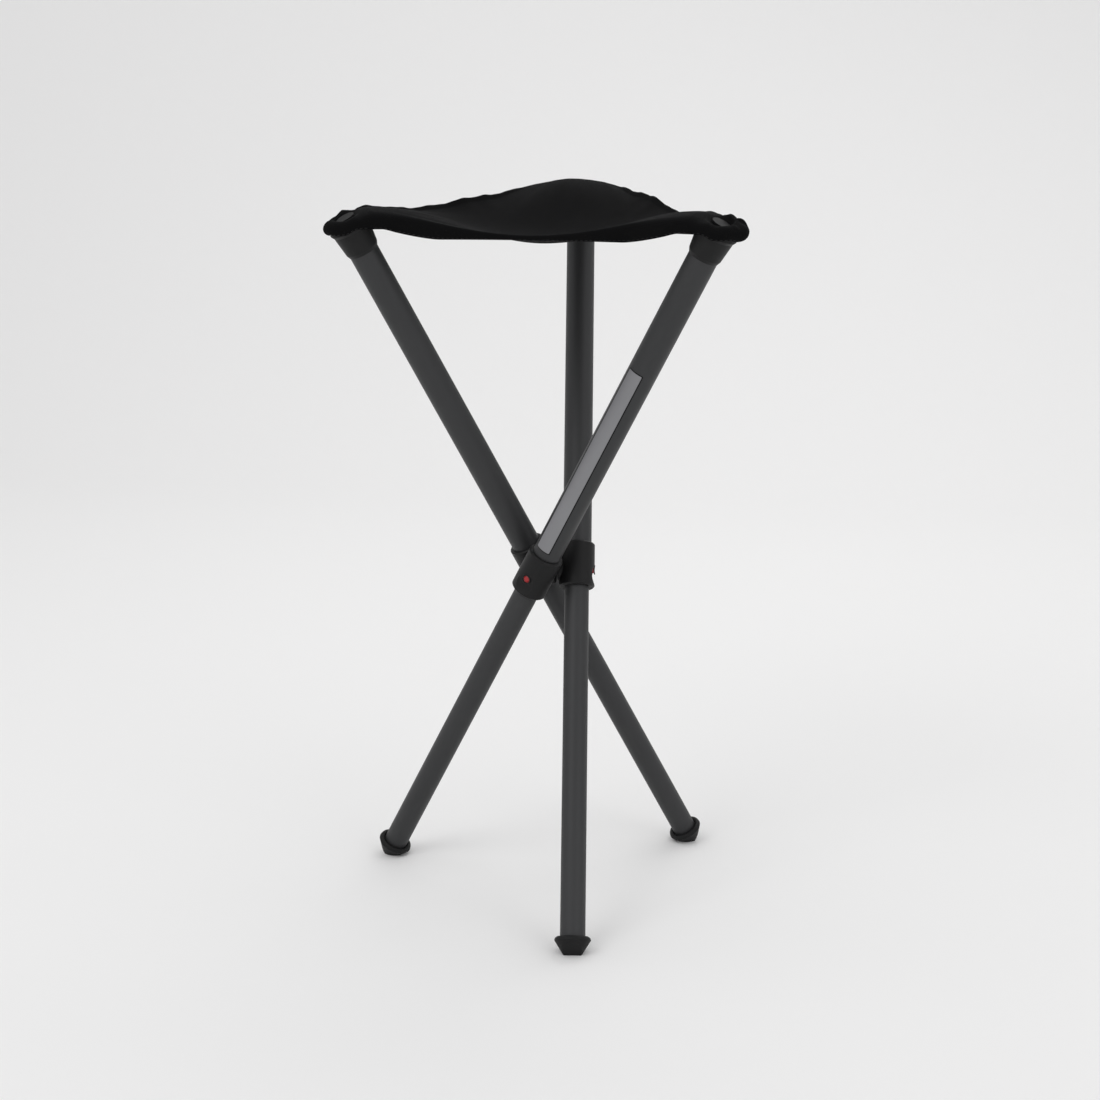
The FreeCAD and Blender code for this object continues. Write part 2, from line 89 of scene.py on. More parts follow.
# Materials
def principled(name, base, rough, metallic=0.0, specular=0.5):
    m = bpy.data.materials.new(name)
    m.use_nodes = True
    t = m.node_tree
    b = t.nodes["Principled BSDF"]
    b.inputs["Base Color"].default_value = (*base, 1)
    b.inputs["Roughness"].default_value = rough
    b.inputs["Metallic"].default_value = metallic
    b.inputs["Specular IOR Level"].default_value = specular
    return m, t, b


def noise(t, scale, detail=3.0, coord="Object", stretch=None):
    c = t.nodes.new("ShaderNodeTexCoord")
    n = t.nodes.new("ShaderNodeTexNoise")
    n.inputs["Scale"].default_value = scale
    n.inputs["Detail"].default_value = detail
    if stretch:
        mp = t.nodes.new("ShaderNodeMapping")
        mp.inputs["Scale"].default_value = stretch
        t.links.new(c.outputs[coord], mp.inputs["Vector"])
        t.links.new(mp.outputs["Vector"], n.inputs["Vector"])
    else:
        t.links.new(c.outputs[coord], n.inputs["Vector"])
    return n


def ramp(t, source, lo, hi, a=0.3, b=0.7):
    r = t.nodes.new("ShaderNodeMapRange")
    r.inputs["From Min"].default_value = a
    r.inputs["From Max"].default_value = b
    r.inputs["To Min"].default_value = lo
    r.inputs["To Max"].default_value = hi
    t.links.new(source, r.inputs["Value"])
    return r.outputs["Result"]


def tint(t, source, dark, light):
    m = t.nodes.new("ShaderNodeMix")
    m.data_type = "RGBA"
    m.inputs[6].default_value = (*dark, 1)
    m.inputs[7].default_value = (*light, 1)
    t.links.new(source, m.inputs[0])
    return m.outputs[2]


def bump(t, b, height, strength, distance):
    n = t.nodes.new("ShaderNodeBump")
    n.inputs["Strength"].default_value = strength
    n.inputs["Distance"].default_value = distance
    t.links.new(height, n.inputs["Height"])
    t.links.new(n.outputs["Normal"], b.inputs["Normal"])


def grained(name, base, rough, grain=900.0, strength=0.12, specular=0.5, metallic=0.0, spread=0.12):
    """A moulded or coated surface: fine grain in its height, and a slow change of tone and gloss."""
    m, t, b = principled(name, base, rough, metallic, specular)
    fine = noise(t, grain, 2.0)
    slow = noise(t, 14.0, 4.0)
    dark = tuple(c * (1 - spread) for c in base)
    light = tuple(c * (1 + spread) for c in base)
    t.links.new(tint(t, ramp(t, slow.outputs["Fac"], 0, 1), dark, light), b.inputs["Base Color"])
    t.links.new(ramp(t, slow.outputs["Fac"], rough - 0.05, rough + 0.05), b.inputs["Roughness"])
    bump(t, b, fine.outputs["Fac"], strength, 0.0002)
    return m


def tube_material():
    """Anodised aluminium: dark and satin, with a fine grain in its height and a slow change of tone and
    gloss.
    """
    m, t, b = principled("anodised_tube", (0.040, 0.0405, 0.042), 0.5, 0.35, 0.4)
    slow = noise(t, 9.0, 4.0)
    fine = noise(t, 1400.0, 2.0)
    t.links.new(
        tint(t, ramp(t, slow.outputs["Fac"], 0, 1), (0.035, 0.0355, 0.0368), (0.042, 0.0425, 0.0438)),
        b.inputs["Base Color"],
    )
    t.links.new(ramp(t, slow.outputs["Fac"], 0.46, 0.55), b.inputs["Roughness"])
    bump(t, b, fine.outputs["Fac"], 0.10, 0.0001)
    return m


def cloth_material(name, base, strength=0.5):
    """Close polyester weave: threads cross at 1.1 mm, with a slow change of tone."""
    m, t, b = principled(name, base, 0.88, 0.0, 0.05)
    b.inputs["Sheen Weight"].default_value = 0.012
    b.inputs["Sheen Roughness"].default_value = 0.5
    b.inputs["Sheen Tint"].default_value = (0.55, 0.56, 0.6, 1)
    c = t.nodes.new("ShaderNodeTexCoord")
    waves = []
    for turn in (0.0, 90.0):
        mp = t.nodes.new("ShaderNodeMapping")
        mp.inputs["Rotation"].default_value = (0, 0, math.radians(turn + 8))
        t.links.new(c.outputs["Object"], mp.inputs["Vector"])
        w = t.nodes.new("ShaderNodeTexWave")
        w.inputs["Scale"].default_value = 290.0
        w.inputs["Distortion"].default_value = 0.6
        w.inputs["Detail"].default_value = 1.0
        t.links.new(mp.outputs["Vector"], w.inputs["Vector"])
        waves.append(w)
    mx = t.nodes.new("ShaderNodeMath")
    mx.operation = "MULTIPLY"
    t.links.new(waves[0].outputs["Fac"], mx.inputs[0])
    t.links.new(waves[1].outputs["Fac"], mx.inputs[1])
    slow = noise(t, 22.0, 5.0)
    dark = tuple(v * 0.86 for v in base)
    light = tuple(v * 1.16 for v in base)
    t.links.new(tint(t, ramp(t, slow.outputs["Fac"], 0, 1), dark, light), b.inputs["Base Color"])
    bump(t, b, mx.outputs[0], strength, 0.0003)
    return m


MATS = {
    "black_plastic": grained("moulded_black", (0.0066, 0.0066, 0.0068), 0.5, 1500.0, 0.18, 0.24),
    "dark_tube": tube_material(),
    "grey_plastic": grained("grey_disc", (0.0062, 0.0063, 0.0066), 0.52, 1600.0, 0.15, 0.12),
    "red_plastic": grained("red_button", (0.34, 0.012, 0.015), 0.3, 1200.0, 0.04, 0.5, spread=0.04),
    "guide_plastic": grained("guide_nylon", (0.62, 0.62, 0.58), 0.5, 1200.0, 0.10),
    "washer_plastic": grained("washer_black", (0.016, 0.016, 0.017), 0.55, 1200.0, 0.10),
    "screw_steel": grained("screw_steel", (0.42, 0.43, 0.44), 0.32, 900.0, 0.10, metallic=1.0),
    "pin_metal": grained("pin_metal", (0.46, 0.46, 0.47), 0.30, 900.0, 0.08, metallic=1.0),
    "spring_steel": grained("spring_steel", (0.36, 0.37, 0.38), 0.30, 900.0, 0.08, metallic=1.0),
    "foot_rubber": grained("foot_rubber", (0.0064, 0.0064, 0.0066), 0.62, 1300.0, 0.25, 0.25),
    "webbing": cloth_material("tab_webbing", (0.0062, 0.0062, 0.0066), 0.7),
    "seat_fabric": cloth_material("seat_weave", (0.0052, 0.0052, 0.0054), 0.5),
}
# Darker copy of the seat weave for the hem and the cloth's cut edges: mostly painted shade where the hem
# faces down, partly a darker binding.
HEM = cloth_material("hem_weave_darkened_for_shade", (0.0040, 0.0040, 0.0042), 0.6)
THREAD = grained("sewing_thread", (0.0088, 0.0088, 0.0094), 0.6, 2500.0, 0.3, 0.3)
LABEL = grained("label_foil", (0.24, 0.24, 0.25), 0.42, 1200.0, 0.04, metallic=0.6, spread=0.05)
LABEL_RIM = grained("label_rim", (0.0045, 0.0045, 0.0048), 0.5, 1200.0, 0.04, 0.15)
for part in record["subparts"]:
    data = nodes[part["node"]].data
    data.materials.clear()
    data.materials.append(MATS[part["material_slot"]])


def smooth_by_angle(obj, degrees=38.0):
    """Smooth shading with sharp edges kept where two faces turn by more than the angle."""
    bm = bmesh.new()
    bm.from_mesh(obj.data)
    for f in bm.faces:
        f.smooth = True
    for e in bm.edges:
        e.smooth = not (len(e.link_faces) == 2 and e.calc_face_angle(0) > math.radians(degrees))
    bm.to_mesh(obj.data)
    bm.free()


# Form of the cloth
EASE = [0.05, 1.0, 0.05]  # share of the first slope that a corner's ridge has at the seat's middle
RIDGE_RUN = 0.016  # straight part of a ridge next to the disc
SAG = 0.0235  # how far the seat's middle lies below the discs
DRAPE = 0.019  # scale of the cloth's fall beside a ridge
DRAPE_RUN = 0.085
DRAPE_WIDTH = 0.039
CORNER_REACH = 0.060  # how far a corner's form counts into the seat
MIDDLE = [0.096, 0.096, 0.0865]  # from the seat's middle to each edge; edge k joins corners k and k + 1
LIFT = [0.0255, 0.0255, 0.0085]  # how far the middle of each edge is drawn up
LIFT_WIDTH = 0.051
CLOTH_T = 0.0016
POCKET_END = 0.011  # from the middle of a disc inwards; there the cloth starts to bend when the legs fold
NECK_END = 0.031
# Angle, width in radians and height of each fold that fans out from a corner
FAN_FOLDS = [
    (-0.42, 0.055, 0.0009),
    (-0.19, 0.05, -0.0006),
    (0.06, 0.06, 0.0006),
    (0.30, 0.05, -0.0007),
    (0.46, 0.05, 0.0009),
]
RIM_RAISE = [0.0030, 0.0024]  # how far the taut rear edges stand above the slack form
RIM_RAISED_AT = [0.004, 0.062]
RIM_SINK = [0.0006, 0.0044]  # and how far they fall off beside the rear corner
POD = [0.0204, 0.0200, 0.0197]  # reach of the cloth round each cap
BULGE = [0.0028, 0.0, -0.0016]  # how much further the padded end of a corner reaches at BULGE_AT degrees
BULGE_AT = [20, 0, -28]
POD_ROLL = 0.0088  # width of the rolled rim round a cap; EDGE_ROLL is that along an edge
FAR_SIDE = [0.0052, 0.0, 0.0036]  # how much fuller a padded end is on the side towards the rear
FAR_TURN = [1, 1, -1]
FAR_RISE = 0.015
FAR_FROM = [0.0125, 0.010, 0.014]  # and how far inside of the disc that begins
LIP = 0.0023  # height of the standing rim of a rear edge
LIP_END = [0.125, 0.134]  # where it ends, towards the front corner
EDGE_ROLL = 0.0026
HEM_TIP = 0.0127  # how far the hem hangs below the disc's level, at a corner's tip and beside its cap
HEM_SIDE = 0.0065
FRONT_HEM = 0.5842  # height of the front edge's lower border at its middle


def smooth(t):
    t = np.clip(t, 0, 1)
    return t * t * (3 - 2 * t)


def bell(x, width):
    return np.exp(-((x / width) ** 2))


def ridge(v, ease):
    span = CORNER - RIDGE_RUN
    t = (v - RIDGE_RUN) / span
    start, pull = SLOPE * RIDGE_RUN, SLOPE * span * ease
    rise = start * (2 * t**3 - 3 * t**2 + 1) + pull * (t**3 - 2 * t**2 + t)
    return np.where(v < RIDGE_RUN, SLOPE * v, rise - SAG * (3 * t**2 - 2 * t**3))


def drape(v, w):
    depth = DRAPE / (1 + (np.maximum(v, 0) / DRAPE_RUN) ** 2)
    return depth * (np.sqrt(1 + (w / DRAPE_WIDTH) ** 2) - 1)


def cloth_z(x, y):
    """Height of the cloth's top face, the same form as the construction's, without its folds."""
    x, y = np.asarray(x, float), np.asarray(y, float)
    total = np.zeros_like(x)
    weights = np.zeros_like(x)
    lift = np.zeros_like(x)
    for k in range(3):
        a = CORNERS[k]
        v = CORNER - (x * math.cos(a) + y * math.sin(a))
        w = y * math.cos(a) - x * math.sin(a)
        weight = (np.hypot(v, w) / CORNER_REACH + 0.15) ** -4
        total += weight * (ridge(v, EASE[k]) - drape(v, w))
        weights += weight
        b = CORNERS[k] + math.radians(60)
        q = np.maximum((x * math.cos(b) + y * math.sin(b)) / MIDDLE[k], 0)
        s = y * math.cos(b) - x * math.sin(b)
        lift += LIFT[k] * q**3 * 13 / (12 + q**6) * bell(s, LIFT_WIDTH)
    return LEVEL + total / weights + lift


def padding(x, y):
    """The padded end on a cap: it stands up round the disc and stays high at the outer side."""
    z = np.zeros_like(np.asarray(x, float))
    for k in range(3):
        a = CORNERS[k]
        out = x * math.cos(a) + y * math.sin(a) - CORNER
        w = y * math.cos(a) - x * math.sin(a)
        ring = smooth((np.hypot(out / math.cos(SPLAY), w) - 0.0083) / 0.0060)
        tall = 0.0012 * smooth((out + 0.017) / 0.009) + 0.30 * np.maximum(out + 0.008, 0)
        far = smooth((FAR_TURN[k] * w + 0.005) / 0.012)
        fuller = smooth((out + FAR_FROM[k]) / FAR_RISE) - 0.6 * smooth((out - 0.006) / 0.008)
        tall += FAR_SIDE[k] * far * fuller
        tall -= 0.12 * FAR_SIDE[k] * far * bell(out + 0.015, 0.006)
        z += ring * tall
    return z


def folds(x, y):
    """Small tension folds that run from the corners into the seat, and the form of the two rear edges."""
    x, y = np.asarray(x, float), np.asarray(y, float)
    z = np.zeros_like(x)
    for k in range(3):
        a = CORNERS[k]
        v = CORNER - (x * math.cos(a) + y * math.sin(a))
        w = y * math.cos(a) - x * math.sin(a)
        fan = np.arctan2(w, np.maximum(v + 0.02, 1e-4))
        near = np.clip((v - 0.034) / 0.03, 0, 1) * bell(np.maximum(v - 0.06, 0), 0.070)
        for at, width, height in FAN_FOLDS:
            z += near * height * bell(fan - at - 0.03 * k, width)
    for k in (0, 1):
        b = CORNERS[k] + math.radians(60)
        q = MIDDLE[k] - (x * math.cos(b) + y * math.sin(b))
        t = (1 if k else -1) * (y * math.cos(b) - x * math.sin(b))
        raised = RIM_RAISE[k] * bell(t - RIM_RAISED_AT[k], 0.036)
        z += bell(q, 0.028) * (raised - RIM_SINK[k] * bell(t + 0.048, 0.042))
        beside = bell(q, 0.016) * smooth((t + 0.10) / 0.05) * smooth((0.11 - t) / 0.04)
        z += 0.0003 * beside * np.sin(t / 0.0052 + 1.3 * np.sin(t / 0.017 + k))
    return z


def top_z(x, y):
    return cloth_z(x, y) + folds(x, y) + padding(x, y)


# Outline of the cloth
def plan(radius, angle):
    return np.array([radius * math.cos(angle), radius * math.sin(angle)])


def edge_curve(k):
    """The plan curve of an edge from corner k to corner k + 1, tangent to both corner rounds."""
    a, b, m = CORNERS[k], CORNERS[k] + math.radians(120), CORNERS[k] + math.radians(60)
    out = plan(1.0, m)
    turn = math.radians(70)
    for _ in range(12):
        p1 = plan(CORNER, a) + plan(POD[k], a + turn)
        p2 = plan(CORNER, b) + plan(POD[(k + 1) % 3], b - turn)
        d = 0.37 * np.linalg.norm(p2 - p1)
        drop = p1 @ out - (8 * MIDDLE[k] - 2 * (p1 @ out)) / 6
        turn = math.radians(60) + math.asin(max(min(drop / d, 0.9), -0.9))
    t1 = plan(1.0, a + turn + math.pi / 2)
    t2 = plan(1.0, b - turn - math.pi / 2)
    return p1, p1 + d * t1, p2 + d * t2, p2, turn


def bezier(c, t):
    p0, p1, p2, p3 = c[:4]
    pos = (1 - t) ** 3 * p0 + 3 * t * (1 - t) ** 2 * p1 + 3 * t * t * (1 - t) * p2 + t**3 * p3
    tan = 3 * (1 - t) ** 2 * (p1 - p0) + 6 * t * (1 - t) * (p2 - p1) + 3 * t * t * (p3 - p2)
    return pos, tan / np.linalg.norm(tan)


CURVES = [edge_curve(k) for k in range(3)]
N_POD = 20
N_EDGE = 60
N_ACROSS = 56
N_INNER = 26


def half_outline(k, side):
    """Samples from a corner's tip to the middle of an edge: place, outward direction, and two shares."""
    a = CORNERS[k]
    curve = CURVES[k] if side > 0 else CURVES[(k + 2) % 3]
    turn = curve[4]
    out = []
    for i in range(N_POD):
        u = i / N_POD
        g = a + side * turn * u
        off = abs(side * turn * u - math.radians(BULGE_AT[k]))
        more = BULGE[k] * float(smooth(1 - off / math.radians(42)))
        out.append((plan(CORNER, a) + plan(POD[k] + more, g), plan(1.0, g), 0.0, u))
    for i in range(N_EDGE + 1):
        t = 0.5 * (i / N_EDGE) ** 1.05
        pos, tan = bezier(curve, t if side > 0 else 1 - t)
        normal = np.array([tan[1], -tan[0]])
        out.append((pos, normal, 2 * t, 1.0))
    return out


def lip_height(edge, t):
    """Height of the wavy rim that stands up along a rear edge; t is 0 in its middle and grows frontwards."""
    if edge == 2:
        return 0.0
    there = smooth((t + 0.090) / 0.035) * smooth((LIP_END[edge] - t) / 0.016)
    return LIP * float(there) * (1 + 0.16 * math.sin(t / 0.0061) + 0.06 * math.sin(t / 0.0023))


def hem_height(rear, s, top, round_share):
    """Height of the hem's lower border."""
    beside = LEVEL - HEM_SIDE
    if round_share < 1.0:
        return beside - (HEM_TIP - HEM_SIDE) * (1 - float(smooth(round_share)))
    if rear:
        low = top - (0.0060 + 0.0088 * min(s / 0.118, 1.0) ** 1.3)
    else:
        low = FRONT_HEM + 0.0085 * float(np.clip((s - 0.074) / 0.044, 0, 1)) ** 1.45
    near = float(smooth((s - 0.108) / 0.024))
    return low + (beside - low) * near


ROLL_STEPS = 8
HEM_STEPS = 8
SEAM_ROW = 3 + ROLL_STEPS + 5  # the row of the hem that the stitches follow


def section(k, side, sample):
    """Rolled edge and hanging hem at one place of the outline, from the sheet's rim to the hem's border."""
    pos, normal, along, round_share = sample
    edge = k if side > 0 else (k + 2) % 3
    rear = edge != 2
    mid_angle = CORNERS[edge] + math.radians(60)
    t = float(pos @ np.array([-math.sin(mid_angle), math.cos(mid_angle)])) * (1 if edge == 1 else -1)
    blend = float(smooth(along / 0.6))
    roll = POD_ROLL + (EDGE_ROLL - POD_ROLL) * blend
    lip = lip_height(edge, t) if round_share == 1.0 else 0.0
    rows = []
    for inside, share in ((0.0034, 0.0), (0.0022, 0.12), (0.0012, 0.85)):
        q = pos - (roll + inside) * normal
        rows.append((q, float(top_z(*q)) + lip * share))
    rim = pos - roll * normal
    step = 0.0008
    base = float(top_z(*rim))
    z0 = base + lip
    grade = (float(top_z(*(rim + step * normal))) - float(top_z(*(rim - step * normal)))) / (2 * step)
    slope = max(min(-grade, 0.9), 0.0 if lip > 0.0004 else -0.4)
    reach = float(smooth(round_share)) if round_share < 1.0 else 1.0
    bottom = min(hem_height(rear, abs(t), base, round_share), z0 - 1.1 * roll - 0.0012)
    widest = z0 - (0.56 + (0.34 - 0.56) * blend) * (z0 - bottom)
    handle = 0.552
    c1 = (handle * roll, z0 - handle * roll * slope)
    c2 = (roll, min(widest + handle * (z0 - widest) * (1 - 0.4 * max(slope, 0)), c1[1]))
    for i in range(ROLL_STEPS + 1):
        f = i / ROLL_STEPS
        out = 3 * f * (1 - f) ** 2 * c1[0] + 3 * f * f * (1 - f) * c2[0] + f**3 * roll
        z = (1 - f) ** 3 * z0 + 3 * f * (1 - f) ** 2 * c1[1] + 3 * f * f * (1 - f) * c2[1] + f**3 * widest
        rows.append((rim + out * normal, z))
    tuck = 0.0052 + (0.0006 - 0.0052) * reach + 0.0008 * blend
    for i in range(1, HEM_STEPS + 1):
        g = math.pi / 2 * i / HEM_STEPS
        seam = 0.00035 if len(rows) == SEAM_ROW else 0.0
        drawn_in = tuck * (1 - math.cos(g)) + seam
        rows.append((pos - drawn_in * normal, widest - (widest - bottom) * math.sin(g)))
    return rows


def build_sector(k):
    """Rows across one third of the cloth: apron, sheet, apron, from the corner's tip to the seat's middle."""
    sides = []
    for side in (-1, 1):
        sides.append([section(k, side, sm) for sm in half_outline(k, side)])
    rows = []
    for left, right in zip(*sides):
        row = [np.array([*p, z]) for p, z in reversed(left)]
        l, r = left[0][0], right[0][0]
        for j in range(1, N_ACROSS):
            p = l + (r - l) * j / N_ACROSS
            row.append(np.array([*p, float(top_z(*p))]))
        row += [np.array([*p, z]) for p, z in right]
        rows.append(row)
    apron = len(sides[0][0])
    l, r = sides[0][-1][0][0], sides[1][-1][0][0]
    inner = []
    for i in range(1, N_INNER + 1):
        f = i / N_INNER
        a, b = l * (1 - f), r * (1 - f)
        row = []
        for j in range(N_ACROSS + 1):
            p = a + (b - a) * j / N_ACROSS
            row.append(np.array([*p, float(top_z(*p))]))
        inner.append(row)
    return rows, inner, apron


def zone_at(k, place):
    """Which piece of a corner's cloth lies at a place: 0 is the pocket, 1 the neck and 2 the sheet."""
    v = CORNER - (place[0] * math.cos(CORNERS[k]) + place[1] * math.sin(CORNERS[k]))
    return 0 if v < POCKET_END else (1 if v < NECK_END else 2)


def sector_faces(k, rows, inner, apron, verts, faces, zones):
    """Adds one sector to the shared lists. A face's tag is its corner, its zone, and 1 on the hem."""
    base = len(verts)
    width = len(rows[0])
    for row in rows:
        verts.extend(row)
    grid = [[base + i * width + j for j in range(width)] for i in range(len(rows))]
    first = len(verts)
    for row in inner:
        verts.extend(row)
    w2 = len(inner[0])
    grid2 = [[first + i * w2 + j for j in range(w2)] for i in range(len(inner))]
    for i in range(len(rows) - 1):
        mid = 0.5 * (rows[i][width // 2] + rows[i + 1][width // 2])
        zone = zone_at(k, mid)
        for j in range(width - 1):
            faces.append((grid[i][j], grid[i][j + 1], grid[i + 1][j + 1], grid[i + 1][j]))
            zones.append((k, zone, int(min(j, width - 2 - j) < apron - 3)))
    lead = grid[-1][apron - 1 : apron + w2 - 1]
    for i in range(len(inner)):
        low = lead if i == 0 else grid2[i - 1]
        for j in range(w2 - 1):
            faces.append((low[j], low[j + 1], grid2[i][j + 1], grid2[i][j]))
            zones.append((k, 2, 0))


def make_cloth():
    """The whole outer face in one welded mesh, so that its normals run on over every split."""
    verts, faces, zones = [], [], []
    for k in range(3):
        rows, inner, apron = build_sector(k)
        sector_faces(k, rows, inner, apron, verts, faces, zones)
    co = np.array(verts)
    key = {}
    remap = np.zeros(len(co), int)
    kept = []
    for i, p in enumerate(np.round(co / 2e-5).astype(int)):
        t = tuple(p)
        if t not in key:
            key[t] = len(kept)
            kept.append(co[i])
        remap[i] = key[t]
    out_faces, out_zones = [], []
    for f, z in zip(faces, zones):
        g = []
        for i in f:
            if not g or g[-1] != remap[i]:
                g.append(int(remap[i]))
        if len(g) > 1 and g[0] == g[-1]:
            g.pop()
        if len(set(g)) == len(g) >= 3:
            out_faces.append(g)
            out_zones.append(z)
    return np.array(kept), out_faces, out_zones


def vertex_normals(co, faces):
    n = np.zeros_like(co)
    for f in faces:
        p = co[f]
        c = np.zeros(3)
        for i in range(1, len(f) - 1):
            c += np.cross(p[i] - p[0], p[i + 1] - p[0])
        for i in f:
            n[i] += c
    length = np.linalg.norm(n, axis=1)
    length[length == 0] = 1
    return n / length[:, None]


def mesh_object(name, co, faces, material, normals=None, second=None, marks=None):
    """A mesh with smooth faces. Faces with a mark of 1 get the second material."""
    me = bpy.data.meshes.new(name)
    me.from_pydata([tuple(p) for p in co], [], faces)
    me.update()
    obj = bpy.data.objects.new(name, me)
    scene.collection.objects.link(obj)
    me.materials.append(material)
    if second:
        me.materials.append(second)
        me.polygons.foreach_set("material_index", marks)
    for p in me.polygons:
        p.use_smooth = True
    if normals is not None:
        me.normals_split_custom_set_from_vertices([tuple(n) for n in normals])
    return obj


def shell(name, co, faces, marks, normals, thickness, material, second):
    """A closed piece of cloth: outer face, inner face and a strip round its border."""
    used = sorted({i for f in faces for i in f})
    at = {v: i for i, v in enumerate(used)}
    outer = co[used]
    nrm = normals[used]
    inner = outer - thickness * nrm
    n = len(used)
    out = [[at[i] for i in f] for f in faces]
    both = out + [[at[i] + n for i in reversed(f)] for f in faces]
    seen = {}
    for f in out:
        for a, b in zip(f, f[1:] + f[:1]):
            seen[(a, b)] = seen.get((a, b), 0) + 1
    for (a, b) in list(seen):
        if (b, a) not in seen:
            both.append([b, a, a + n, b + n])
    allco = np.vstack([outer, inner])
    alln = np.vstack([nrm, -nrm])
    every = marks + marks + [1] * (len(both) - 2 * len(marks))
    return mesh_object(name, allco, both, material, alln, second, every)


co, faces, zones = make_cloth()
normals = vertex_normals(co, faces)
if normals[np.argmin(np.hypot(co[:, 0], co[:, 1]))][2] < 0:
    faces = [f[::-1] for f in faces]
    normals = -normals
pieces = {}
names = {0: "seat_pocket", 1: "seat_neck", 2: "seat_sheet"}
for k in range(3):
    for zone in (0, 1, 2):
        chosen = [i for i, z in enumerate(zones) if z[:2] == (k, zone)]
        marks = [zones[i][2] for i in chosen]
        chosen = [faces[i] for i in chosen]
        name = f"{names[zone]}_{k + 1}"
        pieces[(k, zone)] = shell(name, co, chosen, marks, normals, CLOTH_T, MATS["seat_fabric"], HEM)


# Stitches along the hem
STITCH = 0.0026
STITCH_GAP = 0.0013


def stitch_mesh(runs):
    """Small rounded stitches along the given runs of (place, outward direction)."""
    v, f = [], []
    shares = (0.0, 0.18, 0.5, 0.82, 1.0)
    radii = (0.00006, 0.00022, 0.00026, 0.00022, 0.00006)
    for a, b, out in runs:
        ahead = b - a
        up = np.cross(out, ahead)
        up /= np.linalg.norm(up)
        first = len(v)
        for share, radius in zip(shares, radii):
            middle = a + ahead * share + out * (0.00002 + 0.6 * radius)
            for c in range(6):
                g = math.pi / 3 * c
                v.append(middle + radius * (math.cos(g) * out + math.sin(g) * up))
        for i in range(4):
            for c in range(6):
                d = (c + 1) % 6
                f.append([first + 6 * i + c, first + 6 * i + d, first + 6 * i + 6 + d, first + 6 * i + 6 + c])
        f.append([first + c for c in reversed(range(6))])
        f.append([first + 24 + c for c in range(6)])
    return np.array(v), f


def hem_runs(k):
    """Places of the stitches of one corner, kept apart by the piece of cloth that they are in."""
    runs = {0: [], 1: [], 2: []}
    outlines = [half_outline(k, side) for side in (-1, 1)]
    for side, outline in zip((-1, 1), outlines):
        line = []
        for sample, mate in zip(outline, outlines[0 if side > 0 else 1]):
            p, z = section(k, side, sample)[SEAM_ROW]
            zone = zone_at(k, 0.5 * (sample[0] + mate[0]))
            line.append((np.array([*p, z]), np.array([*sample[1], 0.0]), zone))
        lengths = [float(np.linalg.norm(b[0] - a[0])) for a, b in zip(line, line[1:])]
        total = sum(lengths)
        marks = np.concatenate([[0.0], np.cumsum(lengths)])

        def at(d):
            i = min(int(np.searchsorted(marks, d, side="right")) - 1, len(lengths) - 1)
            f = (d - marks[i]) / lengths[i]
            return line[i][0] + f * (line[i + 1][0] - line[i][0]), line[i][1], line[i][2]

        d = 0.5 * STITCH_GAP
        while d + STITCH < total:
            a, out, zone = at(d)
            b, _, other = at(d + STITCH)
            if zone == other:
                runs[zone].append((a, b, out))
            d += STITCH + STITCH_GAP
    return runs


threads = {}
for k in range(3):
    for zone, runs in hem_runs(k).items():
        v, f = stitch_mesh(runs)
        threads[(k, zone)] = mesh_object(f"{names[zone]}_stitches_{k + 1}", v, f, THREAD)

for k in range(3):
    number = k + 1
    for group in (pieces, threads):
        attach(group[(k, 0)], f"leg_{number}")
        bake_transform(group[(k, 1)])
        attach(group[(k, 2)], f"seat_corner_{number}")
        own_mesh(group[(k, 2)])
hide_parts("seat_cloth")


# Small pieces on the legs
def leg_patch(k, radius, middle, half, low, high, corner, name, material):
    """A thin plate with round corners that lies on a leg's round surface, from low to high along the leg."""
    across = 12
    ends = [0.0, 0.15, 0.4, 0.7, 1.0]
    marks = [low + corner * e for e in ends] + [high - corner * e for e in reversed(ends)]
    v, f = [], []
    for s in marks:
        rest = max(corner - min(s - low, high - s), 0.0)
        wide = radius * half - (corner - math.sqrt(max(corner**2 - rest**2, 0.0)))
        for height in (0.0, 0.00010):
            for i in range(across + 1):
                g = middle + wide * (2 * i / across - 1) / radius
                reach = radius + height
                v.append(leg_point(k, reach * math.cos(g), reach * math.sin(g), s))
    n = across + 1
    for r in range(len(marks) - 1):
        a, b = 2 * n * r, 2 * n * (r + 1)
        for i in range(across):
            f.append([a + n + i, a + n + i + 1, b + n + i + 1, b + n + i])
            f.append([a + i + 1, a + i, b + i, b + i + 1])
        f.append([a, a + n, b + n, b])
        f.append([a + 2 * n - 1, a + n - 1, b + n - 1, b + 2 * n - 1])
    for a, turned in ((0, False), (2 * n * (len(marks) - 1), True)):
        for i in range(across):
            face = [a + i, a + i + 1, a + n + i + 1, a + n + i]
            f.append(face[::-1] if turned else face)
    return mesh_object(name, np.array(v), f, material)


UPPER_TUBE_R = 0.0125
SLEEVE_R = 0.0155
LABEL_AT = math.radians(-3.2)
LABEL_LOW, LABEL_HIGH = 0.030, 0.2155
LABEL_BORDER = 0.0009  # width of the dark border at the label's ends
rim = leg_patch(
    0,
    UPPER_TUBE_R + 0.00003,
    LABEL_AT,
    math.radians(36),
    LABEL_LOW,
    LABEL_HIGH,
    0.0012,
    "label_rim",
    LABEL_RIM,
)
plate = leg_patch(
    0,
    UPPER_TUBE_R + 0.00015,
    LABEL_AT,
    math.radians(31.5),
    LABEL_LOW + LABEL_BORDER,
    LABEL_HIGH - LABEL_BORDER,
    0.0008,
    "label_plate",
    LABEL,
)
for obj in (rim, plate):
    smooth_by_angle(obj)
    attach(obj, "leg_1")


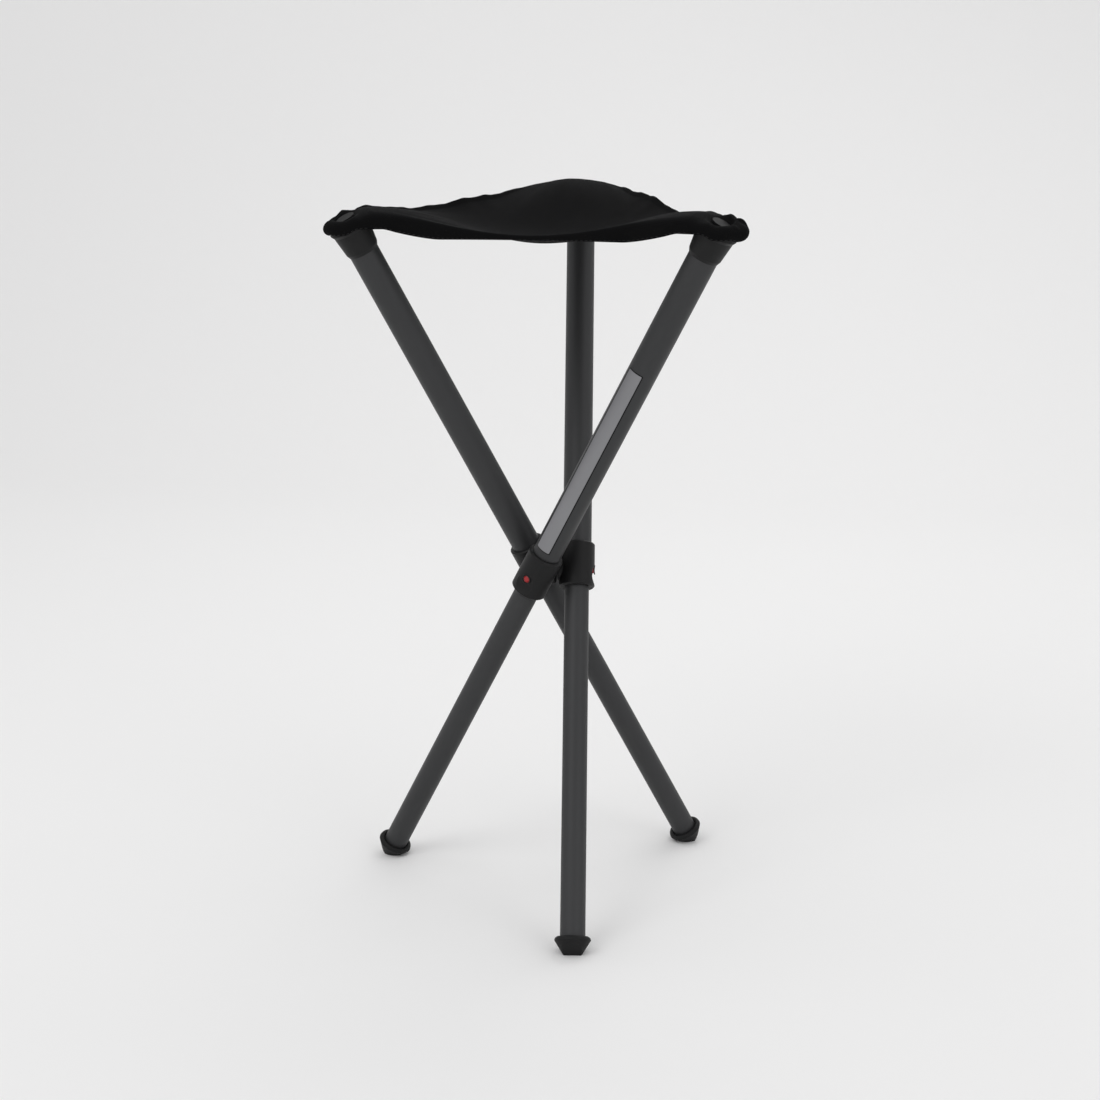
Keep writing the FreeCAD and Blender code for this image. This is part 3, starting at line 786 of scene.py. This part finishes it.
def button_gap_shade(k):
    """Black ring round the release button, on the sleeve's round side: painted shade standing in for the
    shadow of the gap between button and sleeve.
    """
    v, f = [], []
    profile = (
        (0.00330, -0.0004),
        (0.00330, 0.00022),
        (0.00350, 0.00034),
        (0.00400, 0.00034),
        (0.00425, 0.00020),
        (0.00430, -0.0004),
    )
    count = 48
    for c in range(count):
        g = 2 * math.pi * c / count
        for radius, height in profile:
            y, s = radius * math.cos(g), radius * math.sin(g)
            x = math.sqrt(SLEEVE_R**2 - y * y) + height
            v.append(leg_point(k, x, y, s))
    n = len(profile)
    for c in range(count):
        d = (c + 1) % count
        for i in range(n - 1):
            f.append([c * n + i, d * n + i, d * n + i + 1, c * n + i + 1])
        f.append([c * n + n - 1, d * n + n - 1, d * n, c * n])
    # The black plastic ring is painted shade of the gap round the button, not a moulded rim.
    obj = mesh_object(f"button_gap_shade_{k + 1}", np.array(v), f, MATS["black_plastic"])
    smooth_by_angle(obj)
    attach(obj, f"leg_{k + 1}")


for k in range(3):
    button_gap_shade(k)

for name, obj in nodes.items():
    if name != "seat_cloth":
        smooth_by_angle(obj)


# Floor, light and camera
def backdrop():
    """Floor that sweeps up behind the stool."""
    w, d, h, r = 4.0, 2.4, 3.2, 0.9
    prof = [(-3.0, 0.0), (d - r, 0.0)]
    for i in range(1, 25):
        g = math.pi / 2 * i / 24
        prof.append((d - r + r * math.sin(g), r - r * math.cos(g)))
    prof.append((d, h))
    v, f = [], []
    for y, z in prof:
        v += [(-w, y, z), (w, y, z)]
    for i in range(len(prof) - 1):
        f.append((2 * i, 2 * i + 1, 2 * i + 3, 2 * i + 2))
    paper = principled("paper", (0.875, 0.873, 0.868), 0.95, 0.0, 0.05)[0]
    mesh_object("backdrop", np.array(v), f, paper)


backdrop()
world = bpy.data.worlds.new("soft_room")
scene.world = world
world.use_nodes = True
world.node_tree.nodes["Background"].inputs["Color"].default_value = (0.99, 0.99, 1.0, 1)
world.node_tree.nodes["Background"].inputs["Strength"].default_value = 0.715


def area(name, place, aim, size, power, height=None):
    light = bpy.data.lights.new(name, "AREA")
    light.energy = power
    light.size = size
    if height:
        light.shape = "RECTANGLE"
        light.size_y = height
    obj = bpy.data.objects.new(name, light)
    scene.collection.objects.link(obj)
    obj.location = place
    obj.rotation_euler = (Vector(aim) - Vector(place)).to_track_quat("-Z", "Y").to_euler()


area("key", (-1.1, -1.6, 2.1), (0, 0, 0.35), 1.4, 13)
area("fill", (1.7, -1.3, 1.2), (0, 0, 0.35), 1.2, 5)
area("rear", (0.3, 1.3, 1.9), (0, 0, 0.5), 1.6, 8)
area("wall", (0, 0.3, 3.0), (0, 2.4, 2.2), 2.4, 7)

cam = bpy.data.cameras.new("camera")
cam.lens = 71.24
cam.sensor_width = 36.0
eye = bpy.data.objects.new("camera", cam)
scene.collection.objects.link(eye)
eye.location = (0.3095, -1.8105, 0.7726)
yaw, pitch, roll = math.radians(9.7), math.radians(14.231), math.radians(0.154)
forward = Vector((-math.sin(yaw) * math.cos(pitch), math.cos(yaw) * math.cos(pitch), -math.sin(pitch)))
right = Vector((math.cos(yaw), math.sin(yaw), 0))
above = right.cross(forward)
turned_right = right * math.cos(roll) - above * math.sin(roll)
turned_above = right * math.sin(roll) + above * math.cos(roll)
basis = Matrix((turned_right, turned_above, -forward)).transposed()
eye.rotation_euler = basis.to_euler()
scene.camera = eye
scene.render.resolution_x = 1024
scene.render.resolution_y = 1024
scene.view_settings.view_transform = "Standard"
